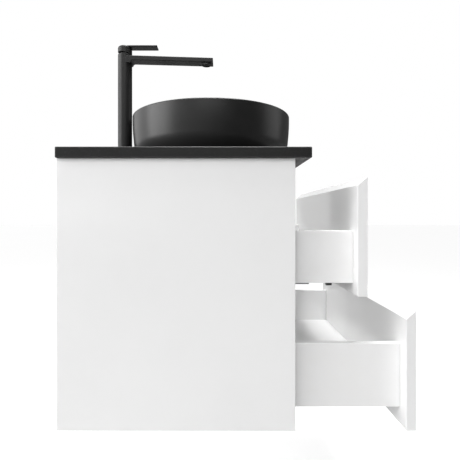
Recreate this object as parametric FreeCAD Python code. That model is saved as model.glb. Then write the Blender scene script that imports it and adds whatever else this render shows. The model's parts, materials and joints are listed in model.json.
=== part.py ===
"""Wall-hung bathroom vanity: two undermount drawers, a slab top, a vessel basin and a tall lever faucet.

The model is in millimetres. +X is to the user's right, +Y points at the wall and +Z is up. The origin is on
the wall plane, at the centre of the four screw holes of the wall plates. The drawers are drawn partly open,
which is zero on their joints: the upper one by UPPER_OPEN and the lower one by LOWER_OPEN.

Heights in this file are measured from the underside of the cabinet. export() lowers every piece by
HANG_HEIGHT, so that the files have their origin at the wall plates.
"""

import FreeCAD, Part
import math
import os

V = FreeCAD.Vector
X_DIR, Y_DIR, Z_DIR = V(1, 0, 0), V(0, 1, 0), V(0, 0, 1)

# Carcass: a box of boards, open at the back between its rails
CABINET_WIDTH = 600.0
CABINET_HEIGHT = 500.0
CARCASS_DEPTH = 438.0
BOARD = 18.0
EASE = 0.8
HANG_HEIGHT = 420.0
INNER_X = CABINET_WIDTH / 2 - BOARD
REAR_RAIL_FRONT, REAR_RAIL_BACK = -28.0, -12.0
REAR_RAIL_LOW = 400.0
LOWER_RAIL_TOP = 98.0
FRONT_RAIL_FRONT, FRONT_RAIL_BACK = -405.0, -335.0

# Cam fittings that hold the boards together
CAM_R, CAM_DEPTH, CAM_INSET = 7.5, 12.5, 34.0
CAM_BOLT_R, CAM_BORE_R, CAM_BOLT_BITE = 3.5, 4.0, 11.0
CAM_SLOT_W, CAM_SLOT_DEEP = 2.5, 2.0

# Soft stops for the closed drawer fronts
BUMPER_R, BUMPER_T = 4.0, 1.1
BUMPER_HEIGHTS = (45.0, 180.0, 290.0, 425.0)

# Wall plates and cabinet hangers
PLATE_HOLE_X, PLATE_HOLE_RISE, PLATE_HOLE_R = 248.0, 32.0, 3.25
PLATE_W, PLATE_T = 56.0, 2.5
PLATE_LOW, PLATE_HIGH = 392.0, 448.0
LIP_BACK, LIP_FRONT = -8.5, -10.5
HANGER_W, HANGER_LOW, HANGER_HIGH, HANGER_FRONT = 20.0, 430.0, 490.0, -105.0
HOOK_LOW, HOOK_HIGH, HOOK_TIP_LOW = 464.0, 476.0, 452.0
HOOK_TIP_FRONT, HOOK_TIP_BACK = -7.6, -4.4

# Drawer fronts, boxes and their places at rest
FRONT_T = 18.0
FRONT_HEIGHT = 220.0
BEVEL_DROP, BEVEL_LAND = 15.2, 1.5
UPPER_FRONT_LOW = 246.0
CLOSED_GAP = 1.5
UPPER_OPEN, LOWER_OPEN = 113.0, 202.0
BOX_INSET = 26.0
BOX_SIDE_T, BOX_LENGTH = 16.0, 380.0
BOX_BOTTOM_T, GROOVE = 12.0, 6.0
UPPER_BOX_LOW, UPPER_BOX_HIGH, UPPER_RECESS = 267.0, 366.0, 9.0
LOWER_BOX_LOW, LOWER_BOX_HIGH, LOWER_RECESS = 32.0, 152.0, 13.0
WELL_HALF, WELL_T, WELL_FRONT = 75.0, 12.0, 100.0

# Runners: lengths along Y and the three nested steel profiles
RUNNER_FRONT, RUNNER_BACK = -436.0, -86.0
MIDDLE_LENGTH, MIDDLE_SETBACK = 320.0, 21.5
STEEL = 1.5
DRAWER_RAIL_START = 20.0
WALL_FLANGE_RISE = 32.0
CLIP_START, CLIP_END, CLIP_IN, CLIP_OUT, CLIP_T = 22.0, 60.0, 25.5, 45.0, 9.0
TAB_START, TAB_END, TAB_DROP = 29.0, 40.0, 12.0

# Top slab
TOP_T = 20.0
TOP_OVERHANG = 9.0
TOP_DEPTH = 467.0
TOP_CHAMFER = 1.2
TOP_Z = CABINET_HEIGHT + TOP_T

# Vessel basin
BASIN_Y = -275.5
SEAL_T = 1.0
BASIN_Z = TOP_Z + SEAL_T
BASIN_HEIGHT = 122.0
RIM_R, RIM_WALL, RIM_ROUND = 199.0, 9.0, 3.6
LEAN_ANGLE, LEAN_HEIGHT = 5.2, 90.0
WALL_ROUND, BASE_ROUND = 440.0, 59.0
BOWL_WALL_ROUND, BOWL_ROUND = 430.0, 44.0
FOOT_R, FOOT_RECESS = 122.0, 3.0
BOWL_FLOOR, BOWL_FALL = 18.0, 4.0
DRAIN_HOLE_R, DRAIN_SEAT_R, DRAIN_SEAT = 22.5, 31.5, 13.0
TOP_DRAIN_HOLE_R = 24.0

# Waste: pop-up drain, tailpiece and bottle trap
GASKET_T = 1.5
FLANGE_R, FLANGE_T = 30.5, 3.0
DRAIN_R, DRAIN_BORE_R, DRAIN_LOW = 21.0, 17.5, 450.0
PLUG_R, PLUG_T, PLUG_STEM_R, PLUG_STEM_LOW = 29.5, 4.5, 4.0, 492.0
CLICKER_R, CLICKER_LOW, CLICKER_HIGH = 7.5, 478.0, 512.0
HUB_R, HUB_LOW, HUB_HIGH, HUB_BAR = 10.0, 486.0, 494.0, 4.0
LOCK_WASHER_R, LOCK_WASHER_T, LOCKNUT_R, LOCKNUT_T = 36.0, 6.0, 34.0, 12.0
PIPE_R, PIPE_BORE_R, THREAD_GAP = 16.0, 14.4, 0.1
TAIL_LOW, TAIL_HIGH = 334.0, 466.0
TRAP_R, TRAP_WALL, NECK_R = 32.0, 3.0, 20.0
TRAP_LOW, TRAP_SHOULDER, TRAP_NECK_TOP = 310.0, 378.0, 402.0
OUTLET_Z, OUTLET_STUB, OUTLET_SHOULDER = 352.0, 54.0, -210.0
CUP_R, CUP_LOW, CUP_TOP = 36.0, 260.0, 322.0
NUT_R, NUT_L, NUT_LIP = 25.0, 20.0, 5.0

# Faucet
FAUCET_Y = -52.0
COLUMN_R, COLUMN_TOP = 18.0, 811.0
COLUMN_BORE_R, SEPTUM_LOW, SEPTUM_HIGH = 15.4, 760.0, 772.0
CARTRIDGE_R, CARTRIDGE_TOP = 12.5, 800.0
CAP_NUT_R, CAP_NUT_HOLE_R = 15.2, 9.4
SPOUT_W, SPOUT_TIP_Y, SPOUT_ROUND = 34.0, -280.5, 6.0
SPOUT_ROOT_TOP, SPOUT_ROOT_LOW, SPOUT_TIP_TOP, SPOUT_TIP_LOW = 805.0, 793.4, 798.1, 787.4
SPOUT_CHANNEL_R = 3.2
AERATOR_Y, AERATOR_R, AERATOR_LOW, AERATOR_HIGH = -263.0, 12.3, 783.8, 794.5
CAP_FRONT_LOW, CAP_REAR_LOW, LEVER_TOP = 811.8, 817.6, 832.0
CAP_WALL, CAP_ROOF, CAP_ROUND = 3.0, 6.0, 5.5
BLADE_W, BLADE_T, BLADE_TIP_Y = 26.0, 4.0, -137.0
PIVOT_Z, PIVOT_R, PIVOT_HOLE_R = 808.0, 1.2, 1.6
SHANK_R, SHANK_BORE_R, SHANK_LOW, SHANK_HIGH = 15.0, 12.6, 452.0, 545.0
TOP_FAUCET_HOLE_R = 17.5
SHANK_WASHER_R, SHANK_WASHER_T, SHANK_NUT_R, SHANK_NUT_T = 22.0, 5.0, 21.0, 10.0
SUPPLY_X, SUPPLY_R, SUPPLY_BORE_R, SUPPLY_LOW = 6.2, 5.0, 4.0, 430.0
BASE_RING_T = 1.0


# Shape helpers

def box(x0, x1, y0, y1, z0, z1):
    """A square-edged block between two corners."""
    return Part.makeBox(x1 - x0, y1 - y0, z1 - z0, V(x0, y0, z0))


def board(x0, x1, y0, y1, z0, z1, ease=EASE):
    """A board with its edges eased."""
    block = box(x0, x1, y0, y1, z0, z1)
    return block.makeFillet(ease, block.Edges)


def rod(radius, start, end):
    """A round bar from start to end."""
    along = end - start
    return Part.makeCylinder(radius, along.Length, start, along)


def tube(outer, inner, start, end):
    """A round tube from start to end."""
    return rod(outer, start, end).cut(rod(inner, start, end))


def upright(radius, x, y, z0, z1):
    """A vertical round bar."""
    return rod(radius, V(x, y, z0), V(x, y, z1))


def ring(outer, inner, y, z0, z1, x=0.0):
    """A vertical tube."""
    return tube(outer, inner, V(x, y, z0), V(x, y, z1))


def hexagon(radius, y, z0, z1):
    """A hexagonal bar, radius to its corners."""
    corners = [V(radius * math.cos(a), y + radius * math.sin(a), z0)
               for a in (math.radians(60 * i) for i in range(7))]
    return Part.Face(Part.makePolygon(corners)).extrude(V(0, 0, z1 - z0))


def rounded_wire(corners):
    """A closed wire through corners (a, b, radius) in the X-Z plane, each rounded with a tangent arc."""
    points = [V(a, 0, b) for a, b, _ in corners]
    starts, arcs, ends = [], [], []
    for i, (_, _, radius) in enumerate(corners):
        here, before, after = points[i], points[i - 1], points[(i + 1) % len(points)]
        if radius == 0:
            starts.append(here)
            arcs.append(None)
            ends.append(here)
            continue
        to_before, to_after = (before - here).normalize(), (after - here).normalize()
        half = to_before.getAngle(to_after) / 2
        reach = radius / math.tan(half)
        middle = (to_before + to_after).normalize() * (radius / math.sin(half) - radius)
        starts.append(here + to_before * reach)
        ends.append(here + to_after * reach)
        arcs.append(Part.Arc(starts[-1], here + middle, ends[-1]).toShape())
    edges = []
    for i, arc in enumerate(arcs):
        if arc:
            edges.append(arc)
        edges.append(Part.LineSegment(ends[i], starts[(i + 1) % len(starts)]).toShape())
    return Part.Wire(edges)


def turned(corners, y):
    """A solid of revolution about the upright line through (0, y), from (radius, height, rounding)."""
    face = Part.Face(rounded_wire(corners))
    solid = face.revolve(V(0, 0, 0), Z_DIR, 360)
    solid.translate(V(0, y, 0))
    return solid


def joined(pieces):
    """One solid from several that overlap or share a face."""
    return pieces[0].multiFuse(pieces[1:]).removeSplitter()


def mirrored(shape):
    """The same piece on the other side of the centre line."""
    return shape.mirror(V(0, 0, 0), X_DIR)


def pair(shape):
    """A piece and its mirror image as one group of separate solids."""
    return Part.makeCompound([shape, mirrored(shape)])


# Carcass

def cam_joints():
    """The cam joints: side, cam centre on the face, direction into the board, depth of the bolt."""
    joints = []
    for side in (-1, 1):
        x = side * (INNER_X - CAM_INSET)
        for y in (-390.0, -55.0):
            joints.append((side, V(x, y, 0), V(0, 0, 1), BOARD / 2))
        for y in (-388.0, -352.0):
            joints.append((side, V(x, y, CABINET_HEIGHT - BOARD), V(0, 0, 1), BOARD / 2))
        rail_middle = (REAR_RAIL_BACK - REAR_RAIL_FRONT) / 2
        for z in (REAR_RAIL_LOW + 22, CABINET_HEIGHT - 20, BOARD + 20, LOWER_RAIL_TOP - 20):
            joints.append((side, V(x, REAR_RAIL_FRONT, z), V(0, 1, 0), rail_middle))
    return joints


def cam_cutters():
    """Pockets for the cams and bores for their bolts, to be cut out of the boards."""
    cutters = []
    for side, face, into, middle in cam_joints():
        line = face + into * middle
        panel_end = V(side * (INNER_X + CAM_BOLT_BITE), line.y, line.z)
        cutters.append(rod(CAM_R, face - into, face + into * CAM_DEPTH))
        cutters.append(rod(CAM_BORE_R, line, V(side * INNER_X, line.y, line.z)))
        cutters.append(rod(CAM_BOLT_R, V(side * INNER_X, line.y, line.z), panel_end))
    return Part.makeCompound(cutters)


def cam_locks():
    """Zinc cams, each with a cross slot in its face and a bore for its bolt."""
    cams = []
    for side, face, into, middle in cam_joints():
        line = face + into * middle
        cam = rod(CAM_R, face + into * 0.3, face + into * CAM_DEPTH)
        across = X_DIR.cross(into)
        for along, wide in ((X_DIR, across), (across, X_DIR)):
            reach = along * 5 + wide * (CAM_SLOT_W / 2) + into * CAM_SLOT_DEEP
            back = along * -5 - wide * (CAM_SLOT_W / 2) + into * 0
            lo = face + V(min(reach.x, back.x), min(reach.y, back.y), min(reach.z, back.z))
            hi = face + V(max(reach.x, back.x), max(reach.y, back.y), max(reach.z, back.z))
            cam = cam.cut(box(lo.x, hi.x, lo.y, hi.y, lo.z, hi.z))
        toward = V(side * (CAM_R + 1), 0, 0)
        cams.append(cam.cut(rod(CAM_BOLT_R + 0.3, line - V(side * 1.0, 0, 0), line + toward)))
    return Part.makeCompound(cams)


def cam_bolts():
    """Steel bolts from the side panels into the cams."""
    bolts = []
    for side, face, into, middle in cam_joints():
        line = face + into * middle
        start = V(line.x, line.y, line.z)
        bolts.append(rod(CAM_BOLT_R, start, V(side * (INNER_X + CAM_BOLT_BITE), line.y, line.z)))
    return Part.makeCompound(bolts)


def carcass_boards():
    """The six boards of the carcass, by name."""
    half = CABINET_WIDTH / 2
    cutters = cam_cutters()
    boards = {
        "side_panel_left": board(-half, -INNER_X, -CARCASS_DEPTH, 0, 0, CABINET_HEIGHT),
        "side_panel_right": board(INNER_X, half, -CARCASS_DEPTH, 0, 0, CABINET_HEIGHT),
        "bottom_panel": board(-INNER_X, INNER_X, 1 - CARCASS_DEPTH, 0, 0, BOARD),
        "top_front_rail": board(-INNER_X, INNER_X, FRONT_RAIL_FRONT, FRONT_RAIL_BACK,
                                CABINET_HEIGHT - BOARD, CABINET_HEIGHT),
        "top_rear_rail": board(-INNER_X, INNER_X, REAR_RAIL_FRONT, REAR_RAIL_BACK,
                               REAR_RAIL_LOW, CABINET_HEIGHT),
        "lower_rear_rail": board(-INNER_X, INNER_X, REAR_RAIL_FRONT, REAR_RAIL_BACK,
                                 BOARD, LOWER_RAIL_TOP),
    }
    boards = {name: piece.cut(cutters) for name, piece in boards.items()}
    boards["top_rear_rail"] = boards["top_rear_rail"].cut(pair(hook_slot()))
    return boards


def bumpers():
    """Soft dots on the front edges of the side panels, where the drawer fronts close."""
    face_y = -CARCASS_DEPTH
    dots = []
    for z in BUMPER_HEIGHTS:
        for x in (BOARD / 2 - CABINET_WIDTH / 2, CABINET_WIDTH / 2 - BOARD / 2):
            dots.append(rod(BUMPER_R, V(x, face_y, z), V(x, face_y - BUMPER_T, z)))
    return Part.makeCompound(dots)


# Hanging hardware

def hook_slot():
    """The slot in the top rear rail that a hanger's hook passes through."""
    return box(-INNER_X + 1.5, -INNER_X + HANGER_W - 1.5, REAR_RAIL_FRONT - 1, REAR_RAIL_BACK + 1,
               HOOK_TIP_LOW - 6, HOOK_HIGH + 5)


def hanger():
    """The left cabinet hanger: a steel housing, two adjusting screws, and its hook over the wall plate."""
    x0, x1 = -INNER_X, -INNER_X + HANGER_W
    housing = box(x0, x1, HANGER_FRONT, REAR_RAIL_FRONT - 0.5, HANGER_LOW, HANGER_HIGH)
    housing = housing.makeFillet(2.0, [e for e in housing.Edges if abs(e.tangentAt(0).x) > 0.9])
    housing = housing.cut(box(x0 + 2, x1 - 2, HANGER_FRONT + 3, REAR_RAIL_FRONT,
                              HANGER_LOW + 4, HANGER_HIGH - 4))
    arm = box(x0 + 4, x1 - 4, HANGER_FRONT + 20, HOOK_TIP_BACK, HOOK_LOW, HOOK_HIGH)
    tip = box(x0 + 4, x1 - 4, HOOK_TIP_FRONT, HOOK_TIP_BACK, HOOK_TIP_LOW, HOOK_LOW)
    web = box(x0 + 1.9, x1 - 1.9, HANGER_FRONT + 20, HANGER_FRONT + 30, HANGER_LOW + 3.9, HOOK_LOW)
    screws = [rod(4.5, V((x0 + x1) / 2, HANGER_FRONT - 2.5, z), V((x0 + x1) / 2, HANGER_FRONT + 24, z))
              for z in (HANGER_LOW + 14, HANGER_HIGH - 18)]
    return joined([housing, arm, tip, web] + screws)


def hanger_screws():
    """The left hanger's two fixing screws: pan heads inside its housing, shanks in the side panel."""
    y, foot_x = HANGER_FRONT + 45, -INNER_X + 2.0
    screws = []
    for z in (HANGER_LOW + 14, HANGER_HIGH - 9):
        head = rod(3.8, V(foot_x, y, z), V(foot_x + 1.8, y, z))
        screws.append(joined([head, rod(2.0, V(-INNER_X - 12, y, z), V(foot_x, y, z))]))
    return screws


def wall_plate():
    """The left wall plate: two screw holes and a raised lip for the hook."""
    x0, x1 = -PLATE_HOLE_X - PLATE_W / 2, -PLATE_HOLE_X + PLATE_W / 2
    plate = box(x0, x1, -PLATE_T, 0, PLATE_LOW, PLATE_HIGH)
    shelf = box(x0, x1, LIP_FRONT, 0, PLATE_HIGH - PLATE_T, PLATE_HIGH)
    lip = box(x0, x1, LIP_FRONT, LIP_BACK, PLATE_HIGH - PLATE_T, HOOK_LOW)
    piece = joined([plate, shelf, lip])
    for z in (HANG_HEIGHT - PLATE_HOLE_RISE / 2, HANG_HEIGHT + PLATE_HOLE_RISE / 2):
        piece = piece.cut(rod(PLATE_HOLE_R, V(-PLATE_HOLE_X, -PLATE_T - 1, z), V(-PLATE_HOLE_X, 1, z)))
    return piece


# Drawers

def drawer_front(inner_y, low):
    """A front panel with its top edge bevelled down towards the inside as a finger pull."""
    top, outer_y = low + FRONT_HEIGHT, inner_y - FRONT_T
    outline = [(inner_y, low), (outer_y, low), (outer_y, top), (outer_y + BEVEL_LAND, top),
               (inner_y, top - BEVEL_DROP), (inner_y, low)]
    face = Part.Face(Part.makePolygon([V(-CABINET_WIDTH / 2, y, z) for y, z in outline]))
    panel = face.extrude(V(CABINET_WIDTH, 0, 0))
    return panel.makeFillet(0.7, panel.Edges)


def drawer_bottom(inner_y, low, recess):
    """The drawer's bottom board, let into grooves in its sides."""
    half = CABINET_WIDTH / 2 - BOX_INSET - BOX_SIDE_T + GROOVE
    z0 = low + recess
    return box(-half, half, inner_y, inner_y + BOX_LENGTH, z0, z0 + BOX_BOTTOM_T)


def drawer_side(inner_y, low, high, bottom):
    """The drawer's left side, grooved for its bottom."""
    outer_x = BOX_INSET - CABINET_WIDTH / 2
    side = board(outer_x, outer_x + BOX_SIDE_T, inner_y, inner_y + BOX_LENGTH, low, high)
    return side.cut(bottom)


def drawer_box(name, inner_y, low, high, recess):
    """The sides and bottom of a drawer, and the width and height of the space between them."""
    bottom = drawer_bottom(inner_y, low, recess)
    side = drawer_side(inner_y, low, high, bottom)
    pieces = {
        f"{name}_side_left": side,
        f"{name}_side_right": mirrored(side),
        f"{name}_bottom": bottom,
    }
    inner_x = CABINET_WIDTH / 2 - BOX_INSET - BOX_SIDE_T
    floor = low + recess + BOX_BOTTOM_T
    return pieces, inner_x, floor


def upper_drawer():
    """The upper drawer, with a well from its back for the basin's trap."""
    inner_y = UPPER_FRONT_Y
    pieces, inner_x, floor = drawer_box(
        "upper_drawer", inner_y, UPPER_BOX_LOW, UPPER_BOX_HIGH, UPPER_RECESS)
    back_y, well_y = inner_y + BOX_LENGTH, inner_y + WELL_FRONT
    outer = WELL_HALF + WELL_T
    notch = box(-WELL_HALF, WELL_HALF, well_y + WELL_T, back_y + 1, floor - BOX_BOTTOM_T - 1, floor + 1)
    pieces["upper_drawer_bottom"] = pieces["upper_drawer_bottom"].cut(notch)
    high = UPPER_BOX_HIGH
    cheek = board(-outer, -WELL_HALF, well_y + WELL_T, back_y, floor, high)
    cross = board(-outer, outer, well_y, well_y + WELL_T, floor, high)
    back = board(-inner_x, -outer, back_y - WELL_T, back_y, floor, high)
    pieces["pipe_well_boards"] = Part.makeCompound([cheek, mirrored(cheek), cross])
    pieces["upper_drawer_back_boards"] = pair(back)
    pieces["upper_drawer_front"] = drawer_front(inner_y, UPPER_FRONT_LOW)
    return pieces


def lower_drawer():
    """The lower drawer, open across its whole width."""
    inner_y = LOWER_FRONT_Y
    pieces, inner_x, floor = drawer_box(
        "lower_drawer", inner_y, LOWER_BOX_LOW, LOWER_BOX_HIGH, LOWER_RECESS)
    back_y = inner_y + BOX_LENGTH
    pieces["lower_drawer_back"] = board(
        -inner_x, inner_x, back_y - BOX_SIDE_T, back_y, floor, LOWER_BOX_HIGH)
    pieces["lower_drawer_front"] = drawer_front(inner_y, 0.0)
    return pieces


# Runners

def channel(inward, outward, y0, y1, top, foot):
    """A steel channel open below, between two distances inboard of the drawer side."""
    x_side = BOX_INSET + BOX_SIDE_T - CABINET_WIDTH / 2
    x0, x1 = x_side + inward, x_side + outward
    hollow = box(x0 + STEEL, x1 - STEEL, y0 - 1, y1 + 1, foot - 1, top - STEEL)
    return box(x0, x1, y0, y1, foot, top).cut(hollow)


def runners(name, inner_y, opened, box_low, recess):
    """One drawer's runners in left and right pairs: fixed, middle and drawer members, and front clips."""
    seat = box_low + recess
    web_top = min(box_low - 2.0, seat - 16.0)
    web_low = web_top - STEEL
    x_side = BOX_INSET + BOX_SIDE_T - CABINET_WIDTH / 2
    flange = box(-INNER_X, -INNER_X + STEEL, RUNNER_FRONT, RUNNER_BACK, web_low, web_low + WALL_FLANGE_RISE)
    web = box(-INNER_X, x_side + 18.0, RUNNER_FRONT, RUNNER_BACK, web_low, web_top)
    hat = channel(8.0, 18.0, RUNNER_FRONT, RUNNER_BACK, seat - 5.0, web_low)
    middle_front = -CARCASS_DEPTH + MIDDLE_SETBACK - opened / 2
    middle = channel(5.0, 21.0, middle_front, middle_front + MIDDLE_LENGTH, seat - 2.5, seat - 15.0)
    rail = channel(2.0, 24.0, inner_y + DRAWER_RAIL_START, inner_y + BOX_LENGTH, seat, seat - 10.0)
    clip = box(x_side + CLIP_IN, x_side + CLIP_OUT, inner_y + CLIP_START, inner_y + CLIP_END,
               seat - CLIP_T, seat)
    tab = box(x_side + CLIP_IN, x_side + CLIP_IN + 10, inner_y + TAB_START, inner_y + TAB_END,
              box_low - TAB_DROP, seat)
    return {
        f"{name}_runner_fixed": pair(joined([flange, web, hat])),
        f"{name}_runner_middle": pair(middle),
        f"{name}_runner_drawer": pair(rail),
        f"{name}_runner_clips": pair(joined([clip, tab])),
    }


# Top, basin and waste

def countertop():
    """The slab, with holes for the drain and the faucet and its upper edges lightly chamfered."""
    half = CABINET_WIDTH / 2 + TOP_OVERHANG
    slab = box(-half, half, -TOP_DEPTH, 0, CABINET_HEIGHT, TOP_Z)
    slab = slab.makeChamfer(TOP_CHAMFER, slab.Edges)
    slab = slab.cut(upright(TOP_DRAIN_HOLE_R, 0, BASIN_Y, CABINET_HEIGHT - 1, TOP_Z + 1))
    return slab.cut(upright(TOP_FAUCET_HOLE_R, 0, FAUCET_Y, CABINET_HEIGHT - 1, TOP_Z + 1))


def basin():
    """The round vessel basin: a wall that curves in to a foot ring, and a bowl that falls to its drain."""
    rim = BASIN_Z + BASIN_HEIGHT
    lean = math.tan(math.radians(LEAN_ANGLE))
    floor_z = BASIN_Z + BOWL_FLOOR
    inner_r = RIM_R - RIM_WALL
    inner_lean = LEAN_HEIGHT + RIM_WALL * math.tan(math.radians(LEAN_ANGLE / 2))
    return turned([
        (DRAIN_HOLE_R, BASIN_Z + FOOT_RECESS, 0),
        (FOOT_R - 2, BASIN_Z + FOOT_RECESS, 1.5),
        (FOOT_R, BASIN_Z, 0),
        (RIM_R - LEAN_HEIGHT * lean, BASIN_Z, BASE_ROUND),
        (RIM_R, BASIN_Z + LEAN_HEIGHT, WALL_ROUND),
        (RIM_R, rim, RIM_ROUND),
        (inner_r, rim, RIM_ROUND),
        (inner_r, BASIN_Z + inner_lean, BOWL_WALL_ROUND),
        (inner_r - (inner_lean - BOWL_FLOOR - BOWL_FALL) * lean, floor_z + BOWL_FALL, BOWL_ROUND),
        (DRAIN_SEAT_R, floor_z, 2.0),
        (DRAIN_SEAT_R, BASIN_Z + DRAIN_SEAT, 0),
        (DRAIN_HOLE_R, BASIN_Z + DRAIN_SEAT, 0),
    ], BASIN_Y)


def drain():
    """The pop-up drain's pieces, by name."""
    seat = BASIN_Z + DRAIN_SEAT
    flange_low = seat + GASKET_T
    flange_top = flange_low + FLANGE_T
    body = ring(DRAIN_R, DRAIN_BORE_R, BASIN_Y, DRAIN_LOW, flange_low)
    body = joined([body, ring(FLANGE_R, DRAIN_BORE_R, BASIN_Y, flange_low, flange_top)])
    body = body.cut(upright(PIPE_R + THREAD_GAP, 0, BASIN_Y, DRAIN_LOW - 1, TAIL_HIGH))
    reach = DRAIN_BORE_R + 1
    bars = [box(-reach, reach, BASIN_Y - HUB_BAR / 2, BASIN_Y + HUB_BAR / 2, HUB_LOW, HUB_HIGH),
            box(-HUB_BAR / 2, HUB_BAR / 2, BASIN_Y - reach, BASIN_Y + reach, HUB_LOW, HUB_HIGH)]
    body = joined([body, upright(HUB_R, 0, BASIN_Y, HUB_LOW, HUB_HIGH)] + bars)
    body = body.cut(upright(CLICKER_R, 0, BASIN_Y, HUB_LOW - 1, HUB_HIGH + 1))
    cap = turned([(0, flange_top + 0.3, 0), (PLUG_R, flange_top + 0.3, 0.6),
                  (PLUG_R, flange_top + PLUG_T - 1.0, 2.0), (0, flange_top + PLUG_T + 1.0, 0)], BASIN_Y)
    stem = upright(PLUG_STEM_R, 0, BASIN_Y, PLUG_STEM_LOW, flange_top + 1)
    washer_low = CABINET_HEIGHT - LOCK_WASHER_T
    nut = upright(LOCKNUT_R, 0, BASIN_Y, washer_low - LOCKNUT_T, washer_low)
    for i in range(8):
        a = math.radians(45 * i)
        nut = nut.cut(upright(4.5, LOCKNUT_R * math.cos(a), BASIN_Y + LOCKNUT_R * math.sin(a),
                              washer_low - LOCKNUT_T - 1, washer_low - 3))
    nut = nut.cut(upright(DRAIN_R + THREAD_GAP, 0, BASIN_Y, washer_low - LOCKNUT_T - 1, washer_low + 1))
    return {
        "drain_body": body,
        "drain_gasket": ring(FLANGE_R, DRAIN_R + THREAD_GAP, BASIN_Y, seat, flange_low),
        "drain_clicker": ring(CLICKER_R, PLUG_STEM_R + 0.4, BASIN_Y, CLICKER_LOW, CLICKER_HIGH),
        "drain_plug": joined([cap, stem]),
        "drain_lock_washer": ring(LOCK_WASHER_R, DRAIN_R + THREAD_GAP, BASIN_Y, washer_low, CABINET_HEIGHT),
        "drain_locknut": nut,
        "drain_tailpiece": ring(PIPE_R, PIPE_BORE_R, BASIN_Y, TAIL_LOW, TAIL_HIGH),
    }


def slip_nut(start, along):
    """A ribbed slip nut whose mouth is at start and whose narrow end is NUT_L further along."""
    end = start + along * NUT_L
    nut = rod(NUT_R, start, end)
    across = along.cross(X_DIR)
    for i in range(12):
        a = math.radians(30 * i)
        out = (X_DIR * math.cos(a) + across * math.sin(a)) * (NUT_R + 0.4)
        nut = nut.cut(rod(1.8, start + out - along, end + out + along))
    nut = nut.cut(rod(NECK_R + THREAD_GAP, start - along, end - along * NUT_LIP))
    return nut.cut(rod(PIPE_R + THREAD_GAP, start, end + along))


def trap():
    """The bottle trap's pieces, by name."""
    inner = TRAP_R - TRAP_WALL
    bore = PIPE_R + THREAD_GAP
    shell = turned([(bore, TRAP_NECK_TOP, 0), (NECK_R, TRAP_NECK_TOP, 0), (NECK_R, TRAP_SHOULDER + 4, 3),
                    (TRAP_R, TRAP_SHOULDER, 8), (TRAP_R, TRAP_LOW, 0), (inner, TRAP_LOW, 0),
                    (inner, TRAP_SHOULDER - 4, 6), (bore, TRAP_SHOULDER - 2, 0)], BASIN_Y)
    axis_point = V(0, BASIN_Y, OUTLET_Z)
    stub_end = axis_point + V(0, OUTLET_STUB, 0)
    stub = rod(NECK_R, axis_point + V(0, inner - 4, 0), stub_end)
    outside = stub.cut(upright(inner, 0, BASIN_Y, TRAP_LOW, TRAP_SHOULDER - 4))
    body = joined([shell, outside]).cut(rod(bore, axis_point, stub_end + Y_DIR))
    cup = turned([(0, CUP_LOW, 0), (CUP_R - 6, CUP_LOW, 5), (CUP_R, CUP_LOW + 14, 6), (CUP_R, CUP_TOP, 1),
                  (TRAP_R + THREAD_GAP, CUP_TOP, 0), (TRAP_R + THREAD_GAP, TRAP_LOW - 0.2, 0),
                  (inner, TRAP_LOW - 0.2, 0), (inner, CUP_LOW + 15, 5), (inner - 6, CUP_LOW + 3, 3),
                  (0, CUP_LOW + 3, 0)], BASIN_Y)
    tube_start, wall_point = axis_point + V(0, inner + 2, 0), V(0, 0, OUTLET_Z)
    shoulder = V(0, OUTLET_SHOULDER, OUTLET_Z)
    pipe = joined([rod(PIPE_R - 0.4, tube_start, shoulder), rod(PIPE_R, shoulder, wall_point)])
    for i in range(16):
        a = math.radians(22.5 * i)
        cup = cup.cut(upright(2.2, (CUP_R + 1) * math.cos(a), BASIN_Y + (CUP_R + 1) * math.sin(a),
                              CUP_LOW + 22, CUP_TOP - 6))
    return {
        "trap_inlet_nut": slip_nut(V(0, BASIN_Y, TRAP_NECK_TOP + NUT_LIP - NUT_L + 1), Z_DIR),
        "trap_body": body,
        "trap_cup": cup,
        "trap_outlet_nut": slip_nut(stub_end + V(0, NUT_LIP - NUT_L + 1, 0), Y_DIR),
        "trap_outlet_tube": pipe.cut(rod(PIPE_BORE_R, tube_start - Y_DIR, wall_point + Y_DIR)),
    }


# Faucet

def faucet_column():
    """The column: a hollow casting with a chamber for the cartridge at its top."""
    column = upright(COLUMN_R, 0, FAUCET_Y, TOP_Z + BASE_RING_T, COLUMN_TOP)
    column = column.makeFillet(0.8, [e for e in column.Edges if len(e.Vertexes) == 1])
    column = column.cut(upright(COLUMN_BORE_R, 0, FAUCET_Y, TOP_Z, SEPTUM_LOW))
    column = column.cut(upright(CARTRIDGE_R + THREAD_GAP, 0, FAUCET_Y, SEPTUM_HIGH, COLUMN_TOP + 1))
    column = column.cut(upright(CAP_NUT_R + THREAD_GAP, 0, FAUCET_Y, CARTRIDGE_TOP, COLUMN_TOP + 1))
    for x in (-SUPPLY_X, SUPPLY_X):
        column = column.cut(upright(SUPPLY_BORE_R, x, FAUCET_Y, SEPTUM_LOW - 1, SEPTUM_HIGH + 1))
    return column.cut(water_way())


def water_way():
    """The channel from the cartridge's chamber, along the spout, to the aerator."""
    root_z = (SPOUT_ROOT_LOW + SPOUT_ROOT_TOP) / 2
    tip_z = (SPOUT_TIP_LOW + SPOUT_TIP_TOP) / 2 + 1.0
    return rod(SPOUT_CHANNEL_R, V(0, FAUCET_Y, root_z), V(0, AERATOR_Y, tip_z))


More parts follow.
